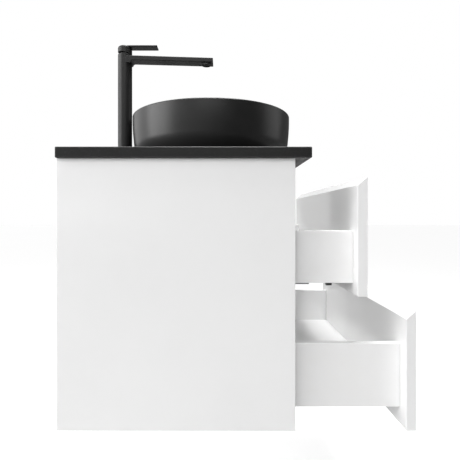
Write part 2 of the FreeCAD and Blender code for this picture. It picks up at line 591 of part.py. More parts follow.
def spout():
    """The flat spout, saddled on the column and rounded into it below, with channel and aerator seat."""
    root_y, face_y = FAUCET_Y - 4, FAUCET_Y - COLUMN_R
    fall = (SPOUT_ROOT_LOW - SPOUT_TIP_LOW) / (root_y - SPOUT_TIP_Y)
    start = V(-SPOUT_W / 2, face_y - SPOUT_ROUND, SPOUT_ROOT_LOW - fall * (root_y - face_y + SPOUT_ROUND))
    end = V(-SPOUT_W / 2, face_y, start.z - SPOUT_ROUND)
    middle = V(-SPOUT_W / 2, start.y + SPOUT_ROUND * math.sin(math.pi / 4),
               end.z + SPOUT_ROUND * math.cos(math.pi / 4))
    rest = [(root_y, end.z), (root_y, SPOUT_ROOT_TOP), (SPOUT_TIP_Y + 0.4, SPOUT_TIP_TOP),
            (SPOUT_TIP_Y, SPOUT_TIP_LOW)]
    outline = [end] + [V(-SPOUT_W / 2, y, z) for y, z in rest] + [start]
    edges = [Part.Arc(start, middle, end).toShape()]
    edges += [Part.LineSegment(a, b).toShape() for a, b in zip(outline, outline[1:])]
    bar = Part.Face(Part.Wire(edges)).extrude(V(SPOUT_W, 0, 0))
    bar = bar.makeFillet(1.2, [e for e in bar.Edges if e.BoundBox.YMin < face_y - SPOUT_ROUND - 1])
    bar = bar.cut(upright(COLUMN_R, 0, FAUCET_Y, SPOUT_ROOT_LOW - 20, SPOUT_ROOT_TOP + 10)).cut(water_way())
    return bar.cut(upright(AERATOR_R + THREAD_GAP, 0, AERATOR_Y, AERATOR_LOW - 1, AERATOR_HIGH))


def aerator():
    """The aerator: a round insert with a recessed outlet grid."""
    body = upright(AERATOR_R, 0, AERATOR_Y, AERATOR_LOW, AERATOR_HIGH)
    body = body.makeFillet(0.7, [e for e in body.Edges if e.BoundBox.ZMax < AERATOR_LOW + 0.1])
    body = body.cut(upright(AERATOR_R - 2.2, 0, AERATOR_Y, AERATOR_LOW - 1, AERATOR_LOW + 1.6))
    return body.cut(upright(3.5, 0, AERATOR_Y, AERATOR_LOW + 4, AERATOR_HIGH + 1))


def valve():
    """The cartridge, its nut and the stem that the lever turns and tilts."""
    y = FAUCET_Y
    body = upright(CARTRIDGE_R, 0, y, SEPTUM_HIGH + 0.2, CARTRIDGE_TOP)
    nut = ring(CAP_NUT_R, CAP_NUT_HOLE_R, y, CARTRIDGE_TOP + 0.2, CARTRIDGE_TOP + 6)
    nut = nut.cut(box(-20, 20, y - 2, y + 2, CARTRIDGE_TOP + 4.5, CARTRIDGE_TOP + 7))
    base = upright(8.6, 0, y, CARTRIDGE_TOP + 0.4, CARTRIDGE_TOP + 4)
    ears = [box(min(s * 5.2, s * 7.6), max(s * 5.2, s * 7.6), y - 4, y + 4,
                CARTRIDGE_TOP + 3.5, PIVOT_Z + 4)
            for s in (-1, 1)]
    pin = rod(PIVOT_R, V(-6, y, PIVOT_Z), V(6, y, PIVOT_Z))
    spindle = box(-4.6, 4.6, y - 3.5, y + 3.5, PIVOT_Z - 2.5, LEVER_TOP - CAP_ROOF)
    spindle = spindle.cut(rod(PIVOT_HOLE_R, V(-6, y, PIVOT_Z), V(6, y, PIVOT_Z)))
    return {
        "cartridge": body,
        "cartridge_nut": nut,
        "cartridge_stem": joined([base, pin] + ears),
        "lever_spindle": spindle,
    }


def lever():
    """The lever: a cap over the cartridge with a sloping underside, and a thin flat blade."""
    y = FAUCET_Y
    cap = upright(COLUMN_R, 0, y, CAP_FRONT_LOW - 1, LEVER_TOP)
    cap = cap.makeFillet(CAP_ROUND, [e for e in cap.Edges if e.BoundBox.ZMin > LEVER_TOP - 1])
    blade = box(-BLADE_W / 2, BLADE_W / 2, BLADE_TIP_Y, y, LEVER_TOP - BLADE_T, LEVER_TOP)
    blade = blade.makeFillet(1.1, [e for e in blade.Edges if e.BoundBox.YMin < y - 1])
    handle = joined([cap, blade])
    room = upright(COLUMN_R - CAP_WALL, 0, y, CAP_FRONT_LOW - 2, LEVER_TOP - CAP_ROOF)
    boss = box(-8, 8, y - 7, y + 7, PIVOT_Z + 7, LEVER_TOP - CAP_ROOF + 1)
    handle = joined([handle.cut(room), boss])
    front, rear = y - COLUMN_R, y + COLUMN_R
    slope = (CAP_REAR_LOW - CAP_FRONT_LOW) / (rear - front)
    under = [(front - 2, CAP_FRONT_LOW - 2 * slope), (rear + 2, CAP_REAR_LOW + 2 * slope),
             (rear + 2, CAP_FRONT_LOW - 5), (front - 2, CAP_FRONT_LOW - 5)]
    wedge = Part.Face(Part.makePolygon([V(-30, a, b) for a, b in under + under[:1]])).extrude(V(60, 0, 0))
    handle = handle.cut(wedge)
    handle = handle.cut(box(-4.6, 4.6, y - 3.5, y + 3.5, PIVOT_Z, LEVER_TOP - CAP_ROOF))
    screw_z = LEVER_TOP - 10.5
    hole = rod(2.5, V(0, y + 3.5, screw_z), V(0, y + COLUMN_R + 1, screw_z))
    screw = rod(2.5, V(0, y + 3.5, screw_z), V(0, y + COLUMN_R - 1.4, screw_z))
    socket = rod(1.3, V(0, y + COLUMN_R - 5, screw_z), V(0, y + COLUMN_R, screw_z))
    return {"faucet_lever": handle.cut(hole), "lever_set_screw": screw.cut(socket)}


def faucet_mounting():
    """What holds the faucet to the slab, and its two supply tubes."""
    y, under = FAUCET_Y, CABINET_HEIGHT
    washer_low = under - SHANK_WASHER_T
    nut = hexagon(SHANK_NUT_R, y, washer_low - SHANK_NUT_T, washer_low)
    nut = nut.cut(upright(SHANK_R + THREAD_GAP, 0, y, washer_low - SHANK_NUT_T - 1, washer_low + 1))
    supply = tube(SUPPLY_R, SUPPLY_BORE_R, V(-SUPPLY_X, y, SUPPLY_LOW), V(-SUPPLY_X, y, SEPTUM_LOW))
    return {
        "faucet_base_ring": ring(COLUMN_R - 0.5, SHANK_R + THREAD_GAP, y, TOP_Z, TOP_Z + BASE_RING_T),
        "faucet_shank": ring(SHANK_R, SHANK_BORE_R, y, SHANK_LOW, SHANK_HIGH),
        "shank_washer": ring(SHANK_WASHER_R, SHANK_R + THREAD_GAP, y, washer_low, under),
        "shank_nut": nut,
        "supply_tubes": pair(supply),
    }


# Places that follow from the driving dimensions
UPPER_FRONT_Y = -(CARCASS_DEPTH + CLOSED_GAP + UPPER_OPEN)
LOWER_FRONT_Y = -(CARCASS_DEPTH + CLOSED_GAP + LOWER_OPEN)


def all_pieces():
    """Every piece of the vanity, by node name."""
    pieces = carcass_boards()
    screws = hanger_screws()
    hole_maker = pair(Part.makeCompound(screws))
    pieces["side_panel_left"] = pieces["side_panel_left"].cut(hole_maker)
    pieces["side_panel_right"] = pieces["side_panel_right"].cut(hole_maker)
    pieces["cabinet_hangers"] = pair(hanger().cut(Part.makeCompound(screws)))
    pieces["hanger_screws"] = Part.makeCompound(screws + [mirrored(s) for s in screws])
    pieces["wall_plates"] = pair(wall_plate())
    pieces["cam_locks"] = cam_locks()
    pieces["cam_bolts"] = cam_bolts()
    pieces["front_bumpers"] = bumpers()
    pieces.update(upper_drawer())
    pieces.update(lower_drawer())
    pieces.update(runners("upper", UPPER_FRONT_Y, UPPER_OPEN, UPPER_BOX_LOW, UPPER_RECESS))
    pieces.update(runners("lower", LOWER_FRONT_Y, LOWER_OPEN, LOWER_BOX_LOW, LOWER_RECESS))
    pieces["countertop"] = countertop()
    pieces["basin_seal"] = ring(FOOT_R + 11, FOOT_R + 3, BASIN_Y, TOP_Z, BASIN_Z)
    pieces["vessel_basin"] = basin()
    pieces.update(drain())
    pieces.update(trap())
    pieces["faucet_column"] = faucet_column()
    pieces["faucet_spout"] = spout()
    pieces["aerator"] = aerator()
    pieces.update(valve())
    pieces.update(lever())
    pieces.update(faucet_mounting())
    return pieces


def export(pieces):
    """Writes one STEP file per piece, with the origin at the wall plates."""
    os.makedirs("parts", exist_ok=True)
    for name, shape in pieces.items():
        placed = shape.copy()
        placed.translate(V(0, 0, -HANG_HEIGHT))
        placed.exportStep(f"parts/{name}.step")


export(all_pieces())
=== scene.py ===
import json
import logging
import math
from abc import ABC, abstractmethod
from collections.abc import Iterable, Sequence
from dataclasses import dataclass
from enum import Enum

import bmesh
import bpy
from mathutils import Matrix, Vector

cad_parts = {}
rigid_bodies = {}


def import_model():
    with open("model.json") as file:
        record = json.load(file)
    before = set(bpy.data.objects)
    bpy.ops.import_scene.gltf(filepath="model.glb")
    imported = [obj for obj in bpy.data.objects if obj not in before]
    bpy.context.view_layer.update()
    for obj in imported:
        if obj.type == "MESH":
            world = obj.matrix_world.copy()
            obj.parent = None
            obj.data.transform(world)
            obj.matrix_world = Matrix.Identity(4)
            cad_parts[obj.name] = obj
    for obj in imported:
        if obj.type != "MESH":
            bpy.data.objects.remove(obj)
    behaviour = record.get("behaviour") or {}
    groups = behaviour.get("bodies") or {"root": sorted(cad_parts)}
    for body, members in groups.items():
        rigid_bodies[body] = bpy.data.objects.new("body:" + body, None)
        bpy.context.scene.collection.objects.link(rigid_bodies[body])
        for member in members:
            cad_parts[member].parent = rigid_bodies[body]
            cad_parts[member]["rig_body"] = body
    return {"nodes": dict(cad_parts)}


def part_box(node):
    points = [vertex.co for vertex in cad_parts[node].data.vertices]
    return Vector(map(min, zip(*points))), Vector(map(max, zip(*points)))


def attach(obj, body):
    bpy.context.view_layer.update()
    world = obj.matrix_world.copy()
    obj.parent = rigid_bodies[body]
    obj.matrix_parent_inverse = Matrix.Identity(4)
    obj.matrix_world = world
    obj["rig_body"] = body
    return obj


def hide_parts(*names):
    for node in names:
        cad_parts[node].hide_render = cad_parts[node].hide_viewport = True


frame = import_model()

LOG = logging.getLogger("vanity")
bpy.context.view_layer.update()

Point2 = tuple[float, float]
Corner = tuple[float, float, float]
Colour = tuple[float, float, float, float]
Sockets = dict[str, bpy.types.NodeSocket]


class Axis(Enum):
    """A direction along which a piece is turned or brushed."""

    X = "x"
    Y = "y"
    Z = "z"


# --------------------------------------------------------------------------------------------------
# Shared surface effects
# --------------------------------------------------------------------------------------------------


@dataclass(frozen=True)
class Socket:
    """One named socket of a shared effect."""

    name: str
    kind: str = "NodeSocketFloat"
    default: float | None = None


class Wiring:
    """A small helper that adds nodes to a tree and joins them."""

    def __init__(self, tree: bpy.types.NodeTree) -> None:
        """Keeps the tree that nodes are added to.

        Args:
            tree: The node tree of a material or of a shared effect.
        """
        self.tree = tree

    def add(self, kind: str, settings: dict[str, object] | None = None, **inputs: object) -> bpy.types.Node:
        """Adds one node.

        Args:
            kind: The node's type name without its ShaderNode prefix.
            settings: Attributes to set on the node.
            **inputs: Values or output sockets for the inputs, by name, with _ for a space.

        Returns:
            The new node.
        """
        node = self.tree.nodes.new("ShaderNode" + kind)
        for key, value in (settings or {}).items():
            setattr(node, key, value)
        for key, value in inputs.items():
            self.feed(node.inputs[key.replace("_", " ")], value)
        return node

    def feed(self, socket: bpy.types.NodeSocket, value: object) -> None:
        """Links an output to a socket, or sets the socket's own value.

        Args:
            socket: The input to fill.
            value: An output socket, a number or a tuple.
        """
        if isinstance(value, bpy.types.NodeSocket):
            self.tree.links.new(value, socket)
        else:
            socket.default_value = value

    def math(self, operation: str, a: object, b: object) -> bpy.types.NodeSocket:
        """Adds a math node.

        Args:
            operation: The operation's name.
            a: The first value or socket.
            b: The second value or socket.

        Returns:
            The result's socket.
        """
        node = self.add("Math", {"operation": operation})
        self.feed(node.inputs[0], a)
        self.feed(node.inputs[1], b)
        return node.outputs[0]

    def mix(self, factor: object, a: object, b: object) -> bpy.types.NodeSocket:
        """Mixes two colours.

        Args:
            factor: The share of the second colour.
            a: The first colour or socket.
            b: The second colour or socket.

        Returns:
            The mixed colour's socket.
        """
        node = self.add("Mix", {"data_type": "RGBA"})
        self.feed(node.inputs[0], factor)
        self.feed(node.inputs[6], a)
        self.feed(node.inputs[7], b)
        return node.outputs[2]

    def ramp(self, value: object, low: float, high: float) -> bpy.types.NodeSocket:
        """Stretches a value so that low becomes 0 and high becomes 1.

        Args:
            value: The value or socket.
            low: What becomes 0.
            high: What becomes 1.

        Returns:
            The stretched value's socket.
        """
        node = self.add("MapRange", {"interpolation_type": "SMOOTHSTEP"})
        for i, item in enumerate((value, low, high, 0.0, 1.0)):
            self.feed(node.inputs[i], item)
        return node.outputs[0]

    def place(self, scale: object = (1.0, 1.0, 1.0)) -> bpy.types.NodeSocket:
        """Gives the place on the piece in metres.

        Args:
            scale: A stretch along each axis.

        Returns:
            The place's vector socket.
        """
        where = self.add("TexCoord").outputs["Object"]
        return self.add("Mapping", None, Vector=where, Scale=scale).outputs[0]


class Effects:
    """The shared effects. Each is a node group that is built once, when it is first used."""

    def __init__(self) -> None:
        """Starts with no effect built."""
        self._built: dict[str, bpy.types.NodeTree] = {}

    def use(self, wiring: Wiring, name: str, **inputs: object) -> bpy.types.Node:
        """Places an effect in a material.

        Args:
            wiring: The material's wiring.
            name: The effect's name, which is also the name of the method that draws it.
            **inputs: Values or sockets for its inputs, by name.

        Returns:
            The group node.
        """
        if name not in self._built:
            self._built[name] = getattr(self, "_" + name)()
        node = wiring.tree.nodes.new("ShaderNodeGroup")
        node.node_tree = self._built[name]
        for key, value in inputs.items():
            wiring.feed(node.inputs[key], value)
        return node

    def _group(self, name: str, inputs: Iterable[Socket],
               outputs: Iterable[Socket]) -> tuple[Wiring, Sockets, Sockets]:
        """Makes an empty group with its sockets.

        Args:
            name: The group's name.
            inputs: Its input sockets.
            outputs: Its output sockets.

        Returns:
            The group's wiring, its inputs by name and its result sockets by name.
        """
        tree = bpy.data.node_groups.new(name, "ShaderNodeTree")
        for in_out, sockets in (("INPUT", inputs), ("OUTPUT", outputs)):
            for socket in sockets:
                made = tree.interface.new_socket(socket.name, in_out=in_out, socket_type=socket.kind)
                if socket.default is not None:
                    made.default_value = socket.default
        given = {s.name: s for s in tree.nodes.new("NodeGroupInput").outputs if s.name}
        result = {s.name: s for s in tree.nodes.new("NodeGroupOutput").inputs if s.name}
        return Wiring(tree), given, result

    def _haze(self) -> bpy.types.NodeTree:
        """Faint cloudy patches that vary a roughness, as wiping leaves on a smooth face."""
        wiring, given, result = self._group(
            "haze",
            [Socket("Roughness", default=0.3), Socket("Amount", default=0.05), Socket("Scale", default=8.0)],
            [Socket("Roughness"), Socket("Mask")],
        )
        cloud = wiring.add("TexNoise", None, Vector=wiring.place(), Scale=given["Scale"], Detail=4.0,
                           Roughness=0.6)
        mask = wiring.ramp(cloud.outputs[0], 0.35, 0.7)
        added = wiring.math("MULTIPLY", mask, given["Amount"])
        wiring.feed(result["Roughness"], wiring.math("ADD", given["Roughness"], added))
        wiring.feed(result["Mask"], mask)
        return wiring.tree

    def _grain(self) -> bpy.types.NodeTree:
        """Fine even grain, as orange peel in lacquer or the tooth of a powder coat."""
        wiring, given, result = self._group(
            "grain",
            [Socket("Scale", default=400.0), Socket("Softness", default=0.5), Socket("Waves", default=0.0)],
            [Socket("Height")],
        )
        fine = wiring.add("TexNoise", None, Vector=wiring.place(), Scale=given["Scale"], Detail=3.0,
                          Roughness=given["Softness"])
        wide = wiring.add("TexNoise", None, Vector=wiring.place(), Scale=6.0, Detail=1.0)
        waves = wiring.math("MULTIPLY", wide.outputs[0], given["Waves"])
        wiring.feed(result["Height"], wiring.math("ADD", fine.outputs[0], waves))
        return wiring.tree

    def _specks(self) -> bpy.types.NodeTree:
        """Small scattered specks of two sizes, as crystals in stone or pigment in a moulding."""
        wiring, given, result = self._group(
            "specks",
            [Socket("Scale", default=600.0), Socket("Size", default=0.16)],
            [Socket("Mask"), Socket("Cloud")],
        )
        place = wiring.place()
        cells = wiring.add("TexVoronoi", None, Vector=place, Scale=given["Scale"], Randomness=1.0)
        lot = wiring.add("SeparateColor", None, Color=cells.outputs["Color"]).outputs[0]
        chosen = wiring.math("GREATER_THAN", lot, 0.72)
        near = wiring.math("LESS_THAN", cells.outputs["Distance"], given["Size"])
        wiring.feed(result["Mask"], wiring.math("MULTIPLY", chosen, near))
        cloud = wiring.add("TexNoise", None, Vector=place, Scale=14.0, Detail=6.0, Roughness=0.65)
        wiring.feed(result["Cloud"], wiring.ramp(cloud.outputs[0], 0.3, 0.75))
        return wiring.tree

    def _edge(self) -> bpy.types.NodeTree:
        """A mask along the outer edges of a piece, where the finishes lighten the colour: a painted
        highlight on stone and coated metal, lighter edges on bare metal.
        """
        wiring, given, result = self._group("edge", [Socket("Width", default=0.001)], [Socket("Mask")])
        soft = wiring.add("Bevel", {"samples": 4}, Radius=given["Width"]).outputs[0]
        true = wiring.add("NewGeometry").outputs["Normal"]
        dot = wiring.add("VectorMath", {"operation": "DOT_PRODUCT"})
        wiring.feed(dot.inputs[0], soft)
        wiring.feed(dot.inputs[1], true)
        bend = wiring.math("SUBTRACT", 1.0, dot.outputs["Value"])
        wiring.feed(result["Mask"], wiring.ramp(bend, 0.01, 0.12))
        return wiring.tree

    def _brush(self) -> bpy.types.NodeTree:
        """Fine parallel lines, as rolling or brushing leaves in sheet metal."""
        wiring, given, result = self._group(
            "brush",
            [Socket("Stretch", "NodeSocketVector"), Socket("Scale", default=900.0)],
            [Socket("Height"), Socket("Mask")],
        )
        lines = wiring.add("TexNoise", None, Vector=wiring.place(given["Stretch"]), Scale=given["Scale"],
                           Detail=2.0)
        patch = wiring.add("TexNoise", None, Vector=wiring.place(), Scale=30.0, Detail=3.0)
        wiring.feed(result["Height"], lines.outputs[0])
        both = wiring.math("ADD", lines.outputs[0], patch.outputs[0])
        wiring.feed(result["Mask"], wiring.ramp(both, 0.7, 1.3))
        return wiring.tree

    def _dust(self) -> bpy.types.NodeTree:
        """A thin uneven film of dust on faces that look up."""
        wiring, given, result = self._group(
            "dust", [Socket("Amount", default=0.05), Socket("Scale", default=25.0)], [Socket("Mask")]
        )
        normal = wiring.add("NewGeometry").outputs["Normal"]
        up = wiring.ramp(wiring.add("SeparateXYZ", None, Vector=normal).outputs[2], 0.6, 1.0)
        cloud = wiring.add("TexNoise", None, Vector=wiring.place(), Scale=given["Scale"], Detail=8.0,
                           Roughness=0.7)
        film = wiring.math("MULTIPLY", up, wiring.ramp(cloud.outputs[0], 0.35, 0.8))
        wiring.feed(result["Mask"], wiring.math("MULTIPLY", film, given["Amount"]))
        return wiring.tree


EFFECTS = Effects()
MATERIALS: dict[str, bpy.types.Material] = {}
DUST: Colour = (0.5, 0.5, 0.5, 1.0)


# --------------------------------------------------------------------------------------------------
# Finishes
# --------------------------------------------------------------------------------------------------


@dataclass(frozen=True)
class Finish(ABC):
    """A surface finish: its slot name, which also names its material, and how its material is built."""

    slot: str
    colour: Colour
    roughness: float

    def material(self) -> bpy.types.Material:
        """Gives the finish's material, building it the first time."""
        if self.slot not in MATERIALS:
            material = bpy.data.materials.new(self.slot + "_finish")
            material.use_nodes = True
            material.node_tree.nodes.clear()
            wiring = Wiring(material.node_tree)
            shader = wiring.add("BsdfPrincipled")
            out = wiring.add("OutputMaterial")
            wiring.feed(out.inputs["Surface"], shader.outputs[0])
            shader.inputs["Roughness"].default_value = self.roughness
            shader.inputs["Base Color"].default_value = self.colour
            self.dress(wiring, shader)
            MATERIALS[self.slot] = material
        return MATERIALS[self.slot]

    @abstractmethod
    def dress(self, wiring: Wiring, shader: bpy.types.Node) -> None:
        """Adds the finish's own colour, roughness and relief to the shader."""

    def relief(self, wiring: Wiring, shader: bpy.types.Node, height: bpy.types.NodeSocket,
               depth: float) -> None:
        """Feeds a height to the shader's normal.

        Args:
            wiring: The material's wiring.
            shader: The shader.
            height: The height's socket, from 0 to 1.
            depth: How deep a height of 1 is, in metres.
        """
        bump = wiring.add("Bump", None, Height=height, Strength=1.0, Distance=depth)
        wiring.feed(shader.inputs["Normal"], bump.outputs[0])


@dataclass(frozen=True)
class Lacquer(Finish):
    """Sprayed and polished lacquer: even colour, deep gloss and a trace of orange peel."""

    tint: Colour = (0.8, 0.8, 0.8, 1.0)
    peel: float = 0.000004

    def dress(self, wiring: Wiring, shader: bpy.types.Node) -> None:
        """Adds slow colour drift, wiped haze and orange peel."""
        haze = EFFECTS.use(wiring, "haze", Roughness=self.roughness, Amount=0.05, Scale=5.0)
        wiring.feed(shader.inputs["Roughness"], haze.outputs["Roughness"])
        wiring.feed(shader.inputs["Base Color"], wiring.mix(haze.outputs["Mask"], self.colour, self.tint))
        grain = EFFECTS.use(wiring, "grain", Scale=260.0, Softness=0.3, Waves=6.0)
        self.relief(wiring, shader, grain.outputs["Height"], self.peel)
        shader.inputs["Coat Weight"].default_value = 0.4
        shader.inputs["Coat Roughness"].default_value = 0.05


@dataclass(frozen=True)
class Melamine(Finish):
    """Melamine-faced board: satin, with a fine pebbled tooth."""

    tint: Colour = (0.78, 0.78, 0.77, 1.0)

    def dress(self, wiring: Wiring, shader: bpy.types.Node) -> None:
        """Adds the pebbled tooth and a slight unevenness."""
        haze = EFFECTS.use(wiring, "haze", Roughness=self.roughness, Amount=0.08, Scale=12.0)
        wiring.feed(shader.inputs["Roughness"], haze.outputs["Roughness"])
        wiring.feed(shader.inputs["Base Color"], wiring.mix(haze.outputs["Mask"], self.colour, self.tint))
        grain = EFFECTS.use(wiring, "grain", Scale=900.0, Softness=0.6, Waves=0.5)
        self.relief(wiring, shader, grain.outputs["Height"], 0.00004)


@dataclass(frozen=True)
class Stone(Finish):
    """Honed black stone: fine grey crystals, faint clouding and a painted highlight along its edges."""

    crystal: Colour = (0.10, 0.10, 0.104, 1.0)
    # The edge colour is a painted highlight along the arris, where the chamfer catches the light.
    edge: Colour = (0.30, 0.30, 0.305, 1.0)

    def dress(self, wiring: Wiring, shader: bpy.types.Node) -> None:
        """Adds the crystals, clouding, a painted highlight along the edges and a film of dust."""
        specks = EFFECTS.use(wiring, "specks", Scale=700.0, Size=0.22)
        clouded = wiring.mix(wiring.math("MULTIPLY", specks.outputs["Cloud"], 0.35), self.colour,
                             tuple(c * 1.8 for c in self.colour[:3]) + (1.0,))
        flecked = wiring.mix(wiring.math("MULTIPLY", specks.outputs["Mask"], 0.5), clouded, self.crystal)
        # Painted highlight: the edge mask lightens the colour along the arris, in place of light caught by
        # the chamfer.
        edge = EFFECTS.use(wiring, "edge", Width=0.0012)
        painted_arris_highlight = wiring.mix(edge.outputs["Mask"], flecked, self.edge)
        dust = EFFECTS.use(wiring, "dust", Amount=0.03, Scale=18.0)
        wiring.feed(shader.inputs["Base Color"], wiring.mix(dust.outputs["Mask"], painted_arris_highlight, DUST))
        haze = EFFECTS.use(wiring, "haze", Roughness=self.roughness, Amount=0.08, Scale=9.0)
        wiring.feed(shader.inputs["Roughness"], haze.outputs["Roughness"])
        grain = EFFECTS.use(wiring, "grain", Scale=1200.0, Softness=0.7, Waves=0.0)
        self.relief(wiring, shader, grain.outputs["Height"], 0.00003)
        shader.inputs["Specular IOR Level"].default_value = 0.26


@dataclass(frozen=True)
class Glaze(Finish):
    """Satin black glaze on fired clay: soft broad reflections and a faint ripple."""

    bloom: Colour = (0.03, 0.03, 0.032, 1.0)

    def dress(self, wiring: Wiring, shader: bpy.types.Node) -> None:
        """Adds the glaze's bloom, its ripple and a film of dust."""
        haze = EFFECTS.use(wiring, "haze", Roughness=self.roughness, Amount=0.06, Scale=7.0)
        wiring.feed(shader.inputs["Roughness"], haze.outputs["Roughness"])
        dust = EFFECTS.use(wiring, "dust", Amount=0.02, Scale=20.0)
        base = wiring.mix(haze.outputs["Mask"], self.colour, self.bloom)
        wiring.feed(shader.inputs["Base Color"], wiring.mix(dust.outputs["Mask"], base, DUST))
        grain = EFFECTS.use(wiring, "grain", Scale=500.0, Softness=0.4, Waves=1.5)
        self.relief(wiring, shader, grain.outputs["Height"], 0.00001)
        shader.inputs["Specular IOR Level"].default_value = 0.26


@dataclass(frozen=True)
class CoatedMetal(Finish):
    """Matt black coating on metal: a tight powder tooth and a painted highlight along the edges."""

    # The edge colour is a painted highlight along the coating's edges.
    edge: Colour = (0.05, 0.05, 0.051, 1.0)

    def dress(self, wiring: Wiring, shader: bpy.types.Node) -> None:
        """Adds the powder tooth, handling haze and the painted edge highlight."""
        haze = EFFECTS.use(wiring, "haze", Roughness=self.roughness, Amount=0.08, Scale=22.0)
        wiring.feed(shader.inputs["Roughness"], haze.outputs["Roughness"])
        # Painted highlight: the edge mask lightens the black along the edges.
        edge = EFFECTS.use(wiring, "edge", Width=0.0008)
        wiring.feed(shader.inputs["Base Color"], wiring.mix(edge.outputs["Mask"], self.colour, self.edge))
        grain = EFFECTS.use(wiring, "grain", Scale=2200.0, Softness=0.6, Waves=0.0)
        self.relief(wiring, shader, grain.outputs["Height"], 0.00002)
        shader.inputs["Specular IOR Level"].default_value = 0.22


@dataclass(frozen=True)
class Metal(Finish):
    """Bare or plated metal, brushed along one axis or cast."""

    shade: Colour = (0.3, 0.3, 0.3, 1.0)
    stretch: tuple[float, float, float] = (1.0, 0.02, 1.0)
    scale: float = 900.0
    depth: float = 0.00002

    def dress(self, wiring: Wiring, shader: bpy.types.Node) -> None:
        """Adds the brushed or cast texture, tarnish and lighter edges."""
        brush = EFFECTS.use(wiring, "brush", Stretch=self.stretch, Scale=self.scale)
        haze = EFFECTS.use(wiring, "haze", Roughness=self.roughness, Amount=0.12, Scale=40.0)
        # The edge mask lightens the colour along the edges.
        edge = EFFECTS.use(wiring, "edge", Width=0.0005)
        base = wiring.mix(wiring.math("MULTIPLY", brush.outputs["Mask"], 0.5), self.colour, self.shade)
        bright = tuple(min(1.0, c * 1.35) for c in self.colour[:3]) + (1.0,)
        wiring.feed(shader.inputs["Base Color"], wiring.mix(edge.outputs["Mask"], base, bright))
        wiring.feed(shader.inputs["Roughness"], haze.outputs["Roughness"])
        self.relief(wiring, shader, brush.outputs["Height"], self.depth)
        shader.inputs["Metallic"].default_value = 1.0


@dataclass(frozen=True)
class Moulded(Finish):
    """Moulded plastic or rubber: a fine spark-eroded texture and slight flow marks."""

    shade: Colour = (0.7, 0.7, 0.68, 1.0)
    grain_scale: float = 1500.0
    depth: float = 0.00004

    def dress(self, wiring: Wiring, shader: bpy.types.Node) -> None:
        """Adds the mould's texture and slow colour drift."""
        haze = EFFECTS.use(wiring, "haze", Roughness=self.roughness, Amount=0.1, Scale=30.0)
        wiring.feed(shader.inputs["Roughness"], haze.outputs["Roughness"])
        specks = EFFECTS.use(wiring, "specks", Scale=500.0, Size=0.1)
        base = wiring.mix(wiring.math("MULTIPLY", specks.outputs["Cloud"], 0.6), self.colour, self.shade)
        wiring.feed(shader.inputs["Base Color"], base)
        grain = EFFECTS.use(wiring, "grain", Scale=self.grain_scale, Softness=0.6, Waves=0.3)
        self.relief(wiring, shader, grain.outputs["Height"], self.depth)


def grey(value: float, warm: float = 0.0) -> Colour:
    """Gives a near-neutral colour, with warm above 0 for a yellower one."""
    return (value * (1 + warm), value, value * (1 - warm), 1.0)


class Palette(Enum):
    """Every finish on the vanity."""

    LACQUER = Lacquer("white_lacquer", grey(0.82), 0.16, tint=grey(0.805))
    BOARD = Melamine("white_board", grey(0.84), 0.36, tint=grey(0.82, 0.003))
    SLAB = Stone("black_slab", grey(0.007), 0.44)
    CERAMIC = Glaze("black_ceramic", grey(0.012), 0.29, bloom=grey(0.015))
    BLACK_METAL = CoatedMetal("black_metal", grey(0.010), 0.38)
    RUNNER = Metal("runner_steel", grey(0.34), 0.38, shade=grey(0.24))
    PLATED = Metal("plated_steel", grey(0.62), 0.28, shade=grey(0.5), stretch=(1.0, 1.0, 0.05))
    ZINC = Metal("zinc", grey(0.5), 0.45, shade=grey(0.36), stretch=(1.0, 1.0, 1.0), scale=600.0,
                 depth=0.00006)
    BRASS = Metal("brass", (0.72, 0.5, 0.2, 1.0), 0.3, shade=(0.58, 0.38, 0.15, 1.0),
                  stretch=(0.05, 0.05, 1.0))
    TRAP = Moulded("trap_plastic", grey(0.78, 0.008), 0.34, shade=grey(0.74, 0.012))
    DARK_PLASTIC = Moulded("dark_plastic", grey(0.03), 0.45, shade=grey(0.045))
    RUBBER = Moulded("rubber", grey(0.018), 0.7, shade=grey(0.03), grain_scale=900.0, depth=0.00008)
    DOT = Moulded("clear_soft", grey(0.6), 0.25, shade=grey(0.66))


# --------------------------------------------------------------------------------------------------
# Making meshes
# --------------------------------------------------------------------------------------------------

EDGE_STEPS = 2
FLAT_FACE_WEIGHT = 60


def rounded(corners: Sequence[Corner], steps: int) -> list[Point2]:
    """Rounds the corners of a closed outline with tangent arcs.

    Args:
        corners: The corners as (a, b, radius).
        steps: How many parts each arc has.

    Returns:
        The outline's points.
    """
    points: list[Point2] = []
    count = len(corners)
    for i, (a, b, radius) in enumerate(corners):
        here = Vector((a, b))
        if radius == 0:
            points.append((a, b))
            continue
        before, after = (Vector(corners[(i + d) % count][:2]) - here for d in (-1, 1))
        before.normalize()
        after.normalize()
        half = before.angle(after) / 2
        centre = here + (before + after).normalized() * (radius / math.sin(half))
        start = here + before * (radius / math.tan(half)) - centre
        end = here + after * (radius / math.tan(half)) - centre
        turn = start.angle_signed(end)
        for k in range(steps + 1):
            angle = -turn * k / steps
            cos, sin = math.cos(angle), math.sin(angle)
            across, up = start.x * cos - start.y * sin, start.x * sin + start.y * cos
            points.append((centre.x + across, centre.y + up))
    return points


